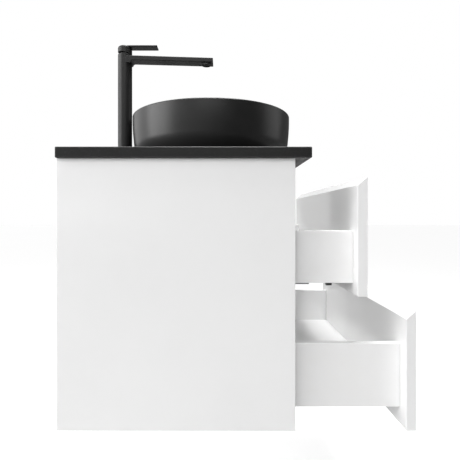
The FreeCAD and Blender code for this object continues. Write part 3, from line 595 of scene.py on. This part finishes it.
@dataclass
class Piece:
    """One finished piece: its name, finish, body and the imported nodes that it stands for."""

    name: str
    finish: Palette
    body: str
    nodes: tuple[str, ...] = ()

    def place(self, mesh: bmesh.types.BMesh, sharp: float = 35.0, edge: float = 0.0) -> bpy.types.Object:
        """Turns a mesh into a dressed object that rides on its body.

        Args:
            mesh: The mesh, which is freed.
            sharp: Edges that bend by more than this many degrees stay sharp.
            edge: The width of a softening along sharp edges, in metres, or 0 for none.

        Returns:
            The new object.
        """
        bmesh.ops.recalc_face_normals(mesh, faces=mesh.faces)
        data = bpy.data.meshes.new(self.name)
        mesh.to_mesh(data)
        mesh.free()
        data.polygons.foreach_set("use_smooth", [True] * len(data.polygons))
        data.set_sharp_from_angle(angle=math.radians(sharp))
        obj = bpy.data.objects.new(self.name, data)
        bpy.context.scene.collection.objects.link(obj)
        if edge > 0:
            bevel = obj.modifiers.new("soft_edges", "BEVEL")
            bevel.width, bevel.segments, bevel.limit_method = edge, EDGE_STEPS, "ANGLE"
            bevel.angle_limit = math.radians(sharp)
        weighted = obj.modifiers.new("even_shading", "WEIGHTED_NORMAL")
        weighted.keep_sharp = True
        weighted.weight = FLAT_FACE_WEIGHT
        data.materials.append(self.finish.value.material())
        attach(obj, self.body)
        if self.nodes:
            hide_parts(*self.nodes)
        LOG.info("made %s on %s", self.name, self.body)
        return obj


def lathe(corners: Sequence[Corner], base: Vector, axis: Axis = Axis.Z, segments: int = 96, steps: int = 8,
          sign: float = 1.0) -> bmesh.types.BMesh:
    """Turns a closed outline about an axis.

    Args:
        corners: The outline as (radius, distance along the axis, rounding), in metres.
        base: The point on the axis that distances are measured from.
        axis: The direction of the axis.
        segments: How many parts the turn has.
        steps: How many parts each rounding has.
        sign: -1 to measure against the axis.

    Returns:
        The mesh.
    """
    outline = rounded(corners, steps)
    mesh = bmesh.new()
    rings: list[list[bmesh.types.BMVert]] = []
    for radius, along in outline:
        ring = []
        for k in range(1 if radius < 1e-7 else segments):
            angle = 2 * math.pi * k / segments
            u, v, w = radius * math.cos(angle), radius * math.sin(angle), along * sign
            place = {Axis.X: (w, u, v), Axis.Y: (u, w, v), Axis.Z: (u, v, w)}[axis]
            ring.append(mesh.verts.new(base + Vector(place)))
        rings.append(ring)
    for first, second in zip(rings, rings[1:] + rings[:1]):
        if len(first) == 1 and len(second) == 1:
            continue
        for k in range(segments):
            n = (k + 1) % segments
            quad = [first[k % len(first)], first[n % len(first)],
                    second[n % len(second)], second[k % len(second)]]
            corners_used = list(dict.fromkeys(quad))
            if len(corners_used) > 2:
                mesh.faces.new(corners_used)
    return mesh


def prism(outline: Sequence[Point2], low: float, high: float, axis: Axis) -> bmesh.types.BMesh:
    """Draws an outline out between two planes.

    Args:
        outline: The outline's points on the two other axes, in X, Y, Z order.
        low: Where it starts along the axis.
        high: Where it ends.
        axis: The direction in which it is drawn.

    Returns:
        The mesh.
    """
    mesh = bmesh.new()
    ends = []
    for w in (low, high):
        points = [{Axis.X: (w, u, v), Axis.Y: (u, w, v), Axis.Z: (u, v, w)}[axis] for u, v in outline]
        ends.append([mesh.verts.new(p) for p in points])
    mesh.faces.new(ends[0])
    mesh.faces.new(list(reversed(ends[1])))
    count = len(outline)
    for i in range(count):
        n = (i + 1) % count
        mesh.faces.new([ends[0][i], ends[1][i], ends[1][n], ends[0][n]])
    return mesh


def merged(parts: Iterable[bmesh.types.BMesh]) -> bmesh.types.BMesh:
    """Puts several meshes into one.

    Args:
        parts: The meshes, which are freed.

    Returns:
        One mesh that holds them all.
    """
    whole = bmesh.new()
    for part in parts:
        carrier = bpy.data.meshes.new("carrier")
        part.to_mesh(carrier)
        part.free()
        whole.from_mesh(carrier)
        bpy.data.meshes.remove(carrier)
    return whole


def from_node(node: str) -> bmesh.types.BMesh:
    """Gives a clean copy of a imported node's mesh, with flat faces whole and no doubled corners.

    Args:
        node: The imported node's name.

    Returns:
        The copy.
    """
    mesh = bmesh.new()
    mesh.from_mesh(frame["nodes"][node].data)
    bmesh.ops.remove_doubles(mesh, verts=mesh.verts, dist=2e-6)
    bmesh.ops.dissolve_limit(mesh, angle_limit=math.radians(0.5), verts=mesh.verts, edges=mesh.edges)
    return mesh


@dataclass(frozen=True)
class Thread:
    """A screw thread cut into an upright round bar.

    Attributes:
        radius: The bar's radius.
        pitch: The rise of one turn.
        depth: How deep the thread is cut.
        parts: How many rings of corners one turn has.
        flank: How steeply the groove's sides fall.
        least_turns: A face with fewer turns than this isn't the threaded one.
    """

    radius: float
    pitch: float
    depth: float
    parts: int = 6
    flank: float = 2.4
    least_turns: int = 8

    def cut(self, mesh: bmesh.types.BMesh, axis: Point2) -> None:
        """Cuts the thread into the longest round face about an upright axis.

        Args:
            mesh: The mesh that holds the bar.
            axis: Where the axis stands, as (x, y).
        """
        centre = Vector((*axis, 0.0))
        uprights = []
        for edge in mesh.edges:
            a, b = (v.co for v in edge.verts)
            on_bar = all(abs((Vector((p.x, p.y, 0.0)) - centre).length - self.radius) < 1e-5 for p in (a, b))
            long_enough = abs(a.z - b.z) > self.least_turns * self.pitch
            if on_bar and long_enough and (a - b).xy.length < 1e-6:
                uprights.append(edge)
        low = min(min(v.co.z for v in edge.verts) for edge in uprights)
        high = max(max(v.co.z for v in edge.verts) for edge in uprights)
        cuts = round((high - low) / self.pitch * self.parts)
        made = bmesh.ops.subdivide_edges(mesh, edges=uprights, cuts=cuts, use_grid_fill=True)
        for vert in {item for item in made["geom_inner"] if isinstance(item, bmesh.types.BMVert)}:
            out = Vector((vert.co.x, vert.co.y, 0.0)) - centre
            turn = ((vert.co.z - low) / self.pitch - math.atan2(out.y, out.x) / (2 * math.pi)) % 1.0
            ends = min(1.0, (vert.co.z - low) / self.pitch, (high - vert.co.z) / self.pitch)
            drop = self.depth * ends * (1 - min(1.0, self.flank * abs(turn - 0.5)))
            vert.co -= out.normalized() * drop


def body_of_node(node: str) -> str:
    """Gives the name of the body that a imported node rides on."""
    return str(frame["nodes"][node]["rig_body"])


def refine(node: str, finish: Palette, edge: float = 0.0, sharp: float = 35.0,
           thread: Thread | None = None) -> bpy.types.Object:
    """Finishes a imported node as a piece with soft, evenly shaded edges.

    Args:
        node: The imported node's name.
        finish: Its finish.
        edge: The width of the softening along sharp edges, in metres.
        sharp: The bend in degrees above which an edge is sharp.
        thread: A screw thread to cut about the node's own middle.

    Returns:
        The new object.
    """
    mesh = from_node(node)
    if thread is not None:
        low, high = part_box(node)
        thread.cut(mesh, ((low.x + high.x) / 2, (low.y + high.y) / 2))
    return Piece(node + "_finished", finish, body_of_node(node), (node,)).place(mesh, sharp, edge)


def dress(node: str, finish: Palette) -> None:
    """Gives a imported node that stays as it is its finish."""
    obj = frame["nodes"][node]
    obj.data.materials.clear()
    obj.data.materials.append(finish.value.material())
    LOG.info("dressed %s", node)


# --------------------------------------------------------------------------------------------------
# Sub-assemblies
# --------------------------------------------------------------------------------------------------


class SubAssembly(ABC):
    """A group of pieces that are built together."""

    @abstractmethod
    def build(self) -> None:
        """Builds and dresses the pieces."""


@dataclass
class Carcass(SubAssembly):
    """The boards of the cabinet, their cam fittings and the soft dots on the front edges.

    Attributes:
        boards: The inner boards' node names.
        panels: The side panels' node names.
        dot_radius: The soft dots' radius.
        dot_heights: Where the dots stand on each front edge.
    """

    boards: tuple[str, ...] = ("bottom_panel", "top_front_rail", "top_rear_rail", "lower_rear_rail")
    panels: tuple[str, ...] = ("side_panel_left", "side_panel_right")
    dot_radius: float = 0.004
    dot_heights: tuple[float, ...] = (-0.375, -0.240, -0.130, 0.005)

    def build(self) -> None:
        """Builds the panels, boards and fittings."""
        for node in self.panels:
            refine(node, Palette.LACQUER, sharp=50.0)
        for node in self.boards:
            refine(node, Palette.BOARD, sharp=50.0)
        refine("cam_locks", Palette.ZINC, edge=0.0003)
        dress("cam_bolts", Palette.PLATED)
        self.dots()

    def dots(self) -> None:
        """Makes the soft dots as low domes."""
        low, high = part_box("front_bumpers")
        radius, thick = self.dot_radius, high.y - low.y
        profile = [(0, 0, 0), (radius, 0, 0), (radius, thick * 0.35, 0),
                   (radius * 0.72, thick * 0.9, 0.0008), (0, thick, 0)]
        domes = []
        for z in self.dot_heights:
            for x in (low.x + radius, high.x - radius):
                domes.append(lathe(profile, Vector((x, high.y, z)), Axis.Y, 32, 4, sign=-1.0))
        dots = Piece("soft_dots", Palette.DOT, body_of_node("front_bumpers"), ("front_bumpers",))
        dots.place(merged(domes), 60.0)


@dataclass
class Hanging(SubAssembly):
    """The wall plates, the cabinet hangers and their screws."""

    edge: float = 0.0004

    def build(self) -> None:
        """Softens the plates and hangers."""
        refine("wall_plates", Palette.PLATED, self.edge)
        refine("cabinet_hangers", Palette.ZINC, self.edge)
        dress("hanger_screws", Palette.PLATED)


@dataclass
class Slab(SubAssembly):
    """The stone slab and the seal between it and the basin."""

    def build(self) -> None:
        """Softens the slab's chamfer with a narrow rounding."""
        refine("countertop", Palette.SLAB, edge=0.0003, sharp=20.0)
        dress("basin_seal", Palette.RUBBER)


@dataclass
class Drawer(SubAssembly):
    """One drawer: its front, its box and its runners.

    Attributes:
        name: The drawer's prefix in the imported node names.
        extra: Its other boards' node names.
        steel: The thickness of the runners' steel.
        steel_edge: The softening of its edges.
        screws_from_back: Where the fixed members' screws stand, measured from their rear ends.
        screw_rise: The screws' height above the fixed members' lower face.
        screw_head: The outline of a screw's head, with its driver's recess.
    """

    name: str
    extra: tuple[str, ...] = ()
    steel: float = 0.0015
    steel_edge: float = 0.0003
    screws_from_back: tuple[float, ...] = (0.037, 0.165, 0.293)
    screw_rise: float = 0.022
    screw_head: tuple[Corner, ...] = (
        (0.0, 0.0, 0.0), (0.0038, 0.0, 0.0), (0.0038, 0.0004, 0.0), (0.0030, 0.0014, 0.0007),
        (0.0013, 0.0014, 0.0002), (0.0009, 0.0006, 0.0), (0.0, 0.0006, 0.0),
    )

    def build(self) -> None:
        """Builds the front, the boards and the runners."""
        refine(f"{self.name}_drawer_front", Palette.LACQUER, sharp=30.0)
        for node in (f"{self.name}_drawer_side_left", f"{self.name}_drawer_side_right", *self.extra):
            refine(node, Palette.BOARD, sharp=50.0)
        refine(f"{self.name}_drawer_bottom", Palette.BOARD, edge=0.0003)
        for member in ("fixed", "middle", "drawer"):
            refine(f"{self.name}_runner_{member}", Palette.RUNNER, self.steel_edge)
        refine(f"{self.name}_runner_clips", Palette.DARK_PLASTIC, 0.0008)
        self.screws()

    def screws(self) -> None:
        """Makes the heads of the screws that hold the fixed members to the side panels."""
        node = f"{self.name}_runner_fixed"
        low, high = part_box(node)
        heads = []
        for x, sign in ((low.x + self.steel, 1.0), (high.x - self.steel, -1.0)):
            for back in self.screws_from_back:
                base = Vector((x, high.y - back, low.z + self.screw_rise))
                heads.append(lathe(self.screw_head, base, Axis.X, 24, 4, sign))
        Piece(f"{self.name}_runner_screws", Palette.PLATED, body_of_node(node)).place(merged(heads))


@dataclass
class Basin(SubAssembly):
    """The vessel basin, turned as one closed shell.

    Attributes:
        wall: The wall's thickness.
        lean: The wall's lean near its base, in degrees.
        lean_height: The height at which the lean's line meets the upright.
        foot: The foot's outer radius.
        foot_recess: How far the underside stands above the foot.
        floor: The bowl's floor at the drain, above the foot.
        fall: How much the floor rises from the drain to the wall.
        hole: The drain hole's radius.
        seat: The drain flange's seat: its radius and its height.
        base_rounds: The roundings of the wall's foot and of the wall, outside.
        bowl_rounds: The roundings of the wall and of the bowl's floor, inside.
        rim_round: The rounding of the rim.
    """

    wall: float = 0.009
    lean: float = 5.2
    lean_height: float = 0.090
    foot: float = 0.122
    foot_recess: float = 0.003
    floor: float = 0.018
    fall: float = 0.004
    hole: float = 0.0225
    seat: Point2 = (0.0315, 0.013)
    base_rounds: Point2 = (0.059, 0.44)
    bowl_rounds: Point2 = (0.43, 0.044)
    rim_round: float = 0.0036

    def build(self) -> None:
        """Turns the basin."""
        low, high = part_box("vessel_basin")
        centre = Vector(((low.x + high.x) / 2, (low.y + high.y) / 2, low.z))
        radius, tall = (high.x - low.x) / 2, high.z - low.z
        slope, inner = math.tan(math.radians(self.lean)), radius - self.wall
        inner_lean = self.lean_height + self.wall * math.tan(math.radians(self.lean / 2))
        inner_low = inner - (inner_lean - self.floor - self.fall) * slope
        seat_r, seat_z = self.seat
        outline = [
            (self.hole, self.foot_recess, 0.0),
            (self.foot - 0.002, self.foot_recess, 0.0015),
            (self.foot, 0.0, 0.0),
            (radius - self.lean_height * slope, 0.0, self.base_rounds[0]),
            (radius, self.lean_height, self.base_rounds[1]),
            (radius, tall, self.rim_round),
            (inner, tall, self.rim_round),
            (inner, inner_lean, self.bowl_rounds[0]),
            (inner_low, self.floor + self.fall, self.bowl_rounds[1]),
            (seat_r, self.floor, 0.002),
            (seat_r, seat_z, 0.0),
            (self.hole, seat_z, 0.0),
        ]
        shell = Piece("basin_shell", Palette.CERAMIC, body_of_node("vessel_basin"), ("vessel_basin",))
        shell.place(lathe(outline, centre, Axis.Z, 224, 16), 45.0)


@dataclass
class Waste(SubAssembly):
    """The pop-up drain and the bottle trap.

    Attributes:
        thread: The thread on the drain body.
    """

    thread: Thread = Thread(0.021, 0.0023, 0.0009)

    def build(self) -> None:
        """Dresses the drain and the trap."""
        refine("drain_body", Palette.BLACK_METAL, thread=self.thread)
        refine("drain_plug", Palette.BLACK_METAL, 0.0002)
        refine("drain_locknut", Palette.BRASS, 0.0004)
        refine("trap_body", Palette.TRAP, 0.0004)
        refine("trap_cup", Palette.TRAP, 0.0003)
        refine("trap_inlet_nut", Palette.TRAP, 0.0004)
        refine("trap_outlet_nut", Palette.TRAP, 0.0004)
        dress("trap_outlet_tube", Palette.TRAP)
        dress("drain_tailpiece", Palette.TRAP)
        dress("drain_gasket", Palette.RUBBER)
        dress("drain_lock_washer", Palette.RUBBER)
        dress("drain_clicker", Palette.DARK_PLASTIC)


@dataclass
class Faucet(SubAssembly):
    """The faucet's column, spout, lever and fittings.

    Attributes:
        thread: The thread on the shank.
        screen: The aerator's outlet screen: its radius and how far up inside the aerator it sits.
        mesh_gap: The space between the screen's bars.
        bar: The width and the thickness of the screen's bars.
        bars_each_side: How many bars stand on each side of the middle one.
        collar_size: The collar's inner and outer radius, and its foot and top above the cartridge nut.
    """

    thread: Thread = Thread(0.015, 0.0015, 0.0007)
    screen: Point2 = (0.0101, 0.0008)
    mesh_gap: float = 0.0016
    bar: Point2 = (0.0005, 0.0004)
    bars_each_side: int = 4
    collar_size: tuple[float, float, float, float] = (0.0123, 0.0147, 0.0002, 0.0074)

    def build(self) -> None:
        """Builds the shown pieces and dresses the inner ones."""
        refine("faucet_column", Palette.BLACK_METAL, 0.0002)
        refine("faucet_spout", Palette.BLACK_METAL, 0.0002)
        refine("faucet_lever", Palette.BLACK_METAL, 0.0002)
        refine("aerator", Palette.DARK_PLASTIC, 0.0002)
        refine("shank_nut", Palette.BRASS, 0.0005)
        refine("faucet_shank", Palette.BRASS, thread=self.thread)
        for node in ("faucet_base_ring", "shank_washer"):
            dress(node, Palette.RUBBER)
        for node in ("cartridge_nut", "cartridge_stem", "lever_spindle", "lever_set_screw"):
            refine(node, Palette.BLACK_METAL, 0.0002)
        dress("cartridge", Palette.DARK_PLASTIC)
        dress("supply_tubes", Palette.PLATED)
        self.outlet_screen()
        self.collar()

    def collar(self) -> None:
        """Makes the collar that closes the gap between the column and the lever's cap."""
        inner, outer, foot, top = self.collar_size
        low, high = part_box("cartridge_nut")
        base = Vector(((low.x + high.x) / 2, (low.y + high.y) / 2, high.z))
        outline = [(inner, foot, 0.0), (outer, foot, 0.0), (outer, top, 0.0011), (inner, top, 0.0005)]
        collar = Piece("column_collar", Palette.BLACK_METAL, body_of_node("faucet_column"))
        collar.place(lathe(outline, base))

    def outlet_screen(self) -> None:
        """Makes the fine screen in the aerator's mouth: two layers of crossed bars."""
        low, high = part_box("aerator")
        x, y, (radius, up) = (low.x + high.x) / 2, (low.y + high.y) / 2, self.screen
        wide, thick = self.bar
        step, z, bars = self.mesh_gap + wide, low.z + up, []
        for k in range(-self.bars_each_side, self.bars_each_side + 1):
            reach = math.sqrt(max(0.0, radius**2 - (abs(k) * step + wide) ** 2))
            near, far = k * step - wide / 2, k * step + wide / 2
            bar = ((near, -reach), (far, -reach), (far, reach), (near, reach))
            crossing = ((-reach, near), (reach, near), (reach, far), (-reach, far))
            bars.append(prism([(x + u, y + v) for u, v in bar], z, z + thick, Axis.Z))
            bars.append(prism([(x + u, y + v) for u, v in crossing], z + thick, z + 2 * thick, Axis.Z))
        Piece("aerator_screen", Palette.DARK_PLASTIC, body_of_node("aerator")).place(merged(bars))


# --------------------------------------------------------------------------------------------------
# The studio
# --------------------------------------------------------------------------------------------------


@dataclass(frozen=True)
class SoftBox:
    """One soft light.

    Attributes:
        name: Its name.
        place: Where it stands, in metres.
        aim: What it points at.
        size: Its width and height.
        power: Its strength in watts.
    """

    name: str
    place: tuple[float, float, float]
    aim: tuple[float, float, float]
    size: tuple[float, float]
    power: float

    def build(self) -> None:
        """Makes the light."""
        data = bpy.data.lights.new(self.name, "AREA")
        data.shape, data.size, data.size_y, data.energy = "RECTANGLE", *self.size, self.power
        obj = bpy.data.objects.new(self.name, data)
        bpy.context.scene.collection.objects.link(obj)
        obj.location = self.place
        obj.rotation_euler = (Vector(self.aim) - Vector(self.place)).to_track_quat("-Z", "Y").to_euler()


@dataclass
class Studio:
    """A pale floor, a white surround, soft boxes and the camera.

    Attributes:
        floor_z: The floor's height.
        floor_reach: How far the floor reaches from the middle.
        camera_place: Where the camera stands.
        lens: Its focal length in millimetres.
        shift: Its shift.
        surround: The surround's light on the wall's side.
        dimmest: The surround's light on the other sides.
        paper: The floor's own grey.
        paper_glow: How much the floor shines on the vanity.
        paper_seen: How much brighter the floor looks to the camera.
        boxes: The soft lights.
    """

    floor_z: float = -0.75
    floor_reach: float = 30.0
    camera_place: tuple[float, float, float] = (-1.023, -0.3034, -0.0261)
    lens: float = 30.866
    shift: Point2 = (0.0174, -0.0302)
    surround: float = 1.9
    dimmest: float = 0.15
    paper: float = 0.5
    paper_glow: float = 0.03
    paper_seen: float = 0.62
    boxes: tuple[SoftBox, ...] = (
        SoftBox("top_box", (-0.1, -0.35, 1.8), (-0.1, -0.35, 0.0), (1.0, 1.0), 62.0),
        SoftBox("rear_box", (-0.6, 1.6, 0.7), (-0.1, -0.5, 0.0), (1.4, 1.4), 32.0),
        SoftBox("front_box", (0.2, -2.6, 0.8), (0.0, -0.4, 0.0), (1.4, 1.4), 8.0),
        SoftBox("side_box", (-2.4, -0.3, 1.5), (0.0, -0.3, 0.2), (1.6, 1.2), 18.0),
    )

    def build(self) -> None:
        """Builds the floor, surround, lights and camera."""
        self.floor()
        self.sky()
        for box in self.boxes:
            box.build()
        self.camera()
        bpy.context.scene.view_settings.view_transform = "Standard"

    def floor(self) -> None:
        """Lays the floor."""
        far = self.floor_reach
        mesh = bmesh.new()
        corners = ((-far, -far), (far, -far), (far, far), (-far, far))
        mesh.faces.new([mesh.verts.new((x, y, self.floor_z)) for x, y in corners])
        data = bpy.data.meshes.new("studio_floor")
        mesh.to_mesh(data)
        mesh.free()
        material = bpy.data.materials.new("studio_paper")
        material.use_nodes = True
        wiring = Wiring(material.node_tree)
        shader = material.node_tree.nodes["Principled BSDF"]
        shader.inputs["Base Color"].default_value = grey(self.paper)
        shader.inputs["Roughness"].default_value = 0.9
        shader.inputs["Specular IOR Level"].default_value = 0.1
        shader.inputs["Emission Color"].default_value = grey(1.0)
        seen = wiring.math("MULTIPLY", wiring.add("LightPath").outputs["Is Camera Ray"], self.paper_seen)
        wiring.feed(shader.inputs["Emission Strength"], wiring.math("ADD", seen, self.paper_glow))
        data.materials.append(material)
        obj = bpy.data.objects.new("studio_floor", data)
        bpy.context.scene.collection.objects.link(obj)

    def sky(self) -> None:
        """Makes the surround: plain white to look at, and as light brighter from the wall's side."""
        world = bpy.data.worlds.new("studio_surround")
        world.use_nodes = True
        bpy.context.scene.world = world
        wiring = Wiring(world.node_tree)
        world.node_tree.nodes.clear()
        seen = wiring.add("Background", None, Color=grey(1.0), Strength=1.0)
        lean = wiring.add("VectorMath", {"operation": "DOT_PRODUCT"})
        wiring.feed(lean.inputs[0], wiring.add("TexCoord").outputs["Generated"])
        wiring.feed(lean.inputs[1], (0.0, 1.0, 0.0))
        fall = wiring.add("MapRange")
        for i, item in enumerate((lean.outputs["Value"], -0.2, 1.0, self.dimmest, self.surround)):
            wiring.feed(fall.inputs[i], item)
        cast = wiring.add("Background", None, Color=grey(1.0), Strength=fall.outputs[0])
        path = wiring.add("LightPath")
        both = wiring.add("MixShader")
        wiring.feed(both.inputs[0], path.outputs["Is Camera Ray"])
        wiring.feed(both.inputs[1], cast.outputs[0])
        wiring.feed(both.inputs[2], seen.outputs[0])
        wiring.feed(wiring.add("OutputWorld").inputs["Surface"], both.outputs[0])

    def camera(self) -> None:
        """Sets up the camera."""
        data = bpy.data.cameras.new("camera")
        data.lens, data.sensor_width = self.lens, 36.0
        data.shift_x, data.shift_y = self.shift
        data.clip_start, data.clip_end = 0.01, 100.0
        obj = bpy.data.objects.new("camera", data)
        obj.location = self.camera_place
        obj.rotation_euler = (math.pi / 2, 0.0, -math.pi / 2)
        bpy.context.scene.collection.objects.link(obj)
        bpy.context.scene.camera = obj


def main() -> None:
    """Builds the vanity and the studio."""
    logging.basicConfig(level=logging.INFO, format="%(name)s: %(message)s")
    assemblies: list[SubAssembly] = [
        Carcass(),
        Hanging(),
        Slab(),
        Drawer("upper", ("upper_drawer_back_boards", "pipe_well_boards")),
        Drawer("lower", ("lower_drawer_back",)),
        Basin(),
        Waste(),
        Faucet(),
    ]
    for assembly in assemblies:
        assembly.build()
        LOG.info("%s done", type(assembly).__name__)
    Studio().build()


if __name__ == "__main__":
    main()
